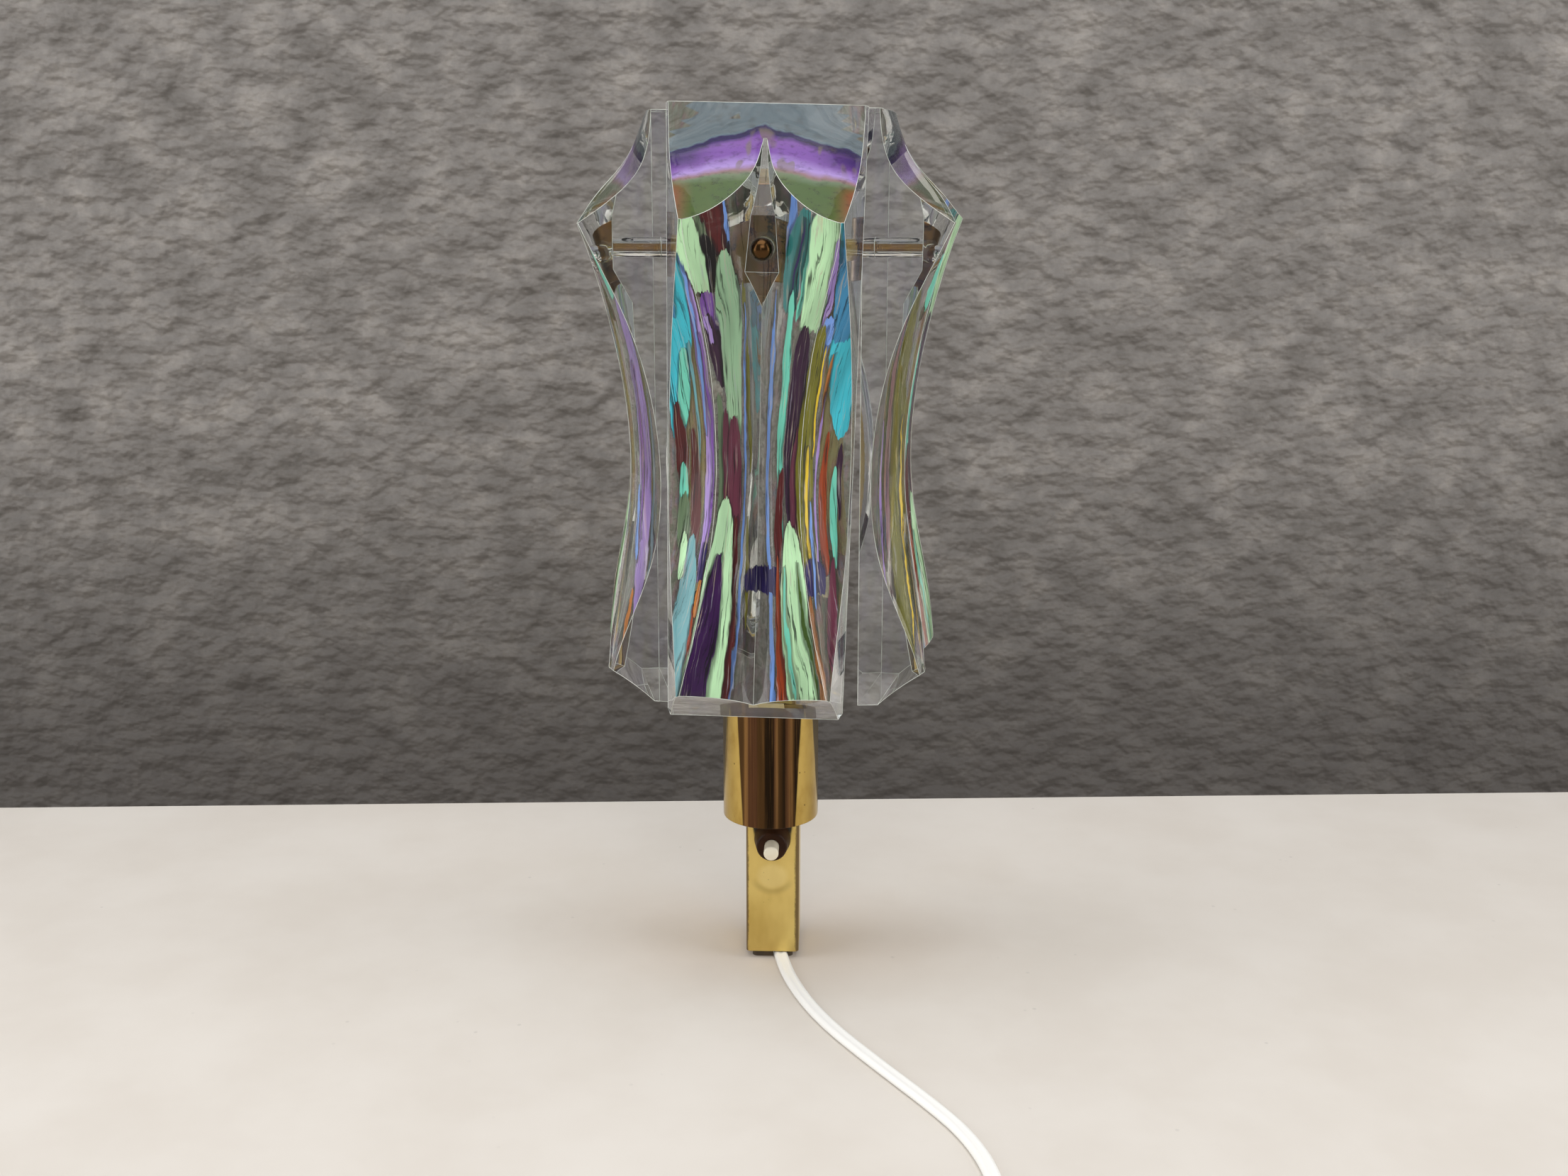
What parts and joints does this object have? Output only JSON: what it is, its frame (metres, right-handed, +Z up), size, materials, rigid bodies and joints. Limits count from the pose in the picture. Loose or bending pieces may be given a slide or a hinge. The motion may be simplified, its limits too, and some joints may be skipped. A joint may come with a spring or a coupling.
{
  "type": "crystal wall sconce",
  "caption": "Wall light with moulded crystal panels hung from a brass band over a lampholder tube, on a slim brass channel with a push button and a flat cord with plug.",
  "frame": {"origin": "on the wall plane, in the middle of the wall strip's back face, halfway up the channel", "axes": "+Z up, +Y into the wall, -Y towards the room and the front crystal, +X to the right seen from the front"},
  "size_m": [0.1445, 0.3034, 0.3235],
  "materials": {
    "satin_brass": "satin, lacquered, worn at the edges",
    "dark_brass": "darkened, semi-gloss",
    "crystal": "moulded, polished, thin iridescent film on the facets",
    "washer_plastic": "clear, smooth",
    "zinc_steel": "zinc plated",
    "dark_plastic": "moulded, slightly rough",
    "collar_brown": "moulded, polished",
    "ivory_plastic": "polished",
    "porcelain": "glazed",
    "cord_pvc": "soft, smooth sheath",
    "nickel": "bright nickel"
  },
  "bodies": {
    "lamp": {"wall_strip": "zinc_steel", "channel": "satin_brass", "channel_screws": "zinc_steel", "channel_foot": "dark_plastic", "band_saddle": "satin_brass", "crystal_band": "satin_brass", "band_screw": "zinc_steel", "band_nut": "zinc_steel", "studs": "dark_brass", "stud_inner_nuts": "zinc_steel", "stud_spacers": "satin_brass", "glass_washers": "washer_plastic", "ball_nuts": "dark_brass", "tube_saddle": "satin_brass", "lamp_tube": "satin_brass", "holder_bracket": "zinc_steel", "tube_screws": "zinc_steel", "tube_nuts": "zinc_steel", "lampholder": "porcelain", "lamp_shell": "nickel", "lamp_contact": "nickel", "holder_nipple": "satin_brass", "nipple_nut": "zinc_steel", "switch_collar": "collar_brown", "switch_body": "dark_plastic", "terminal_block": "porcelain", "terminal_screws": "zinc_steel", "cord_clamp": "dark_plastic", "clamp_screws": "zinc_steel", "cord_entry": "cord_pvc", "cord": "cord_pvc", "cord_coil": "cord_pvc", "cord_tail": "cord_pvc", "cord_plug": "cord_pvc", "plug_pins": "nickel"},
    "crystal_front": {"crystal_front": "crystal"},
    "crystal_left": {"crystal_left": "crystal"},
    "crystal_right": {"crystal_right": "crystal"},
    "push_button": {"switch_button": "ivory_plastic"}
  },
  "joints": [
    {"name": "front_crystal_swing", "type": "hinge", "parent": "lamp", "child": "crystal_front", "pos_m": [0, -0.10825, 0.1319], "axis": [0, 1, 0], "range_deg": [-11.2, 8.8]},
    {"name": "left_crystal_swing", "type": "hinge", "parent": "lamp", "child": "crystal_left", "pos_m": [-0.04422, -0.06443, 0.1319], "axis": [0.9925, 0.1219, 0], "range_deg": [-4.5, 3]},
    {"name": "right_crystal_swing", "type": "hinge", "parent": "lamp", "child": "crystal_right", "pos_m": [0.04422, -0.06443, 0.1319], "axis": [0.9925, -0.1219, 0], "range_deg": [-3, 4]},
    {"name": "button_press", "type": "slide", "parent": "lamp", "child": "push_button", "axis": [0, 1, 0], "range_m": [0, 0.0025], "stiffness_N_per_m": 350, "springref_m": -0.002}
  ]
}
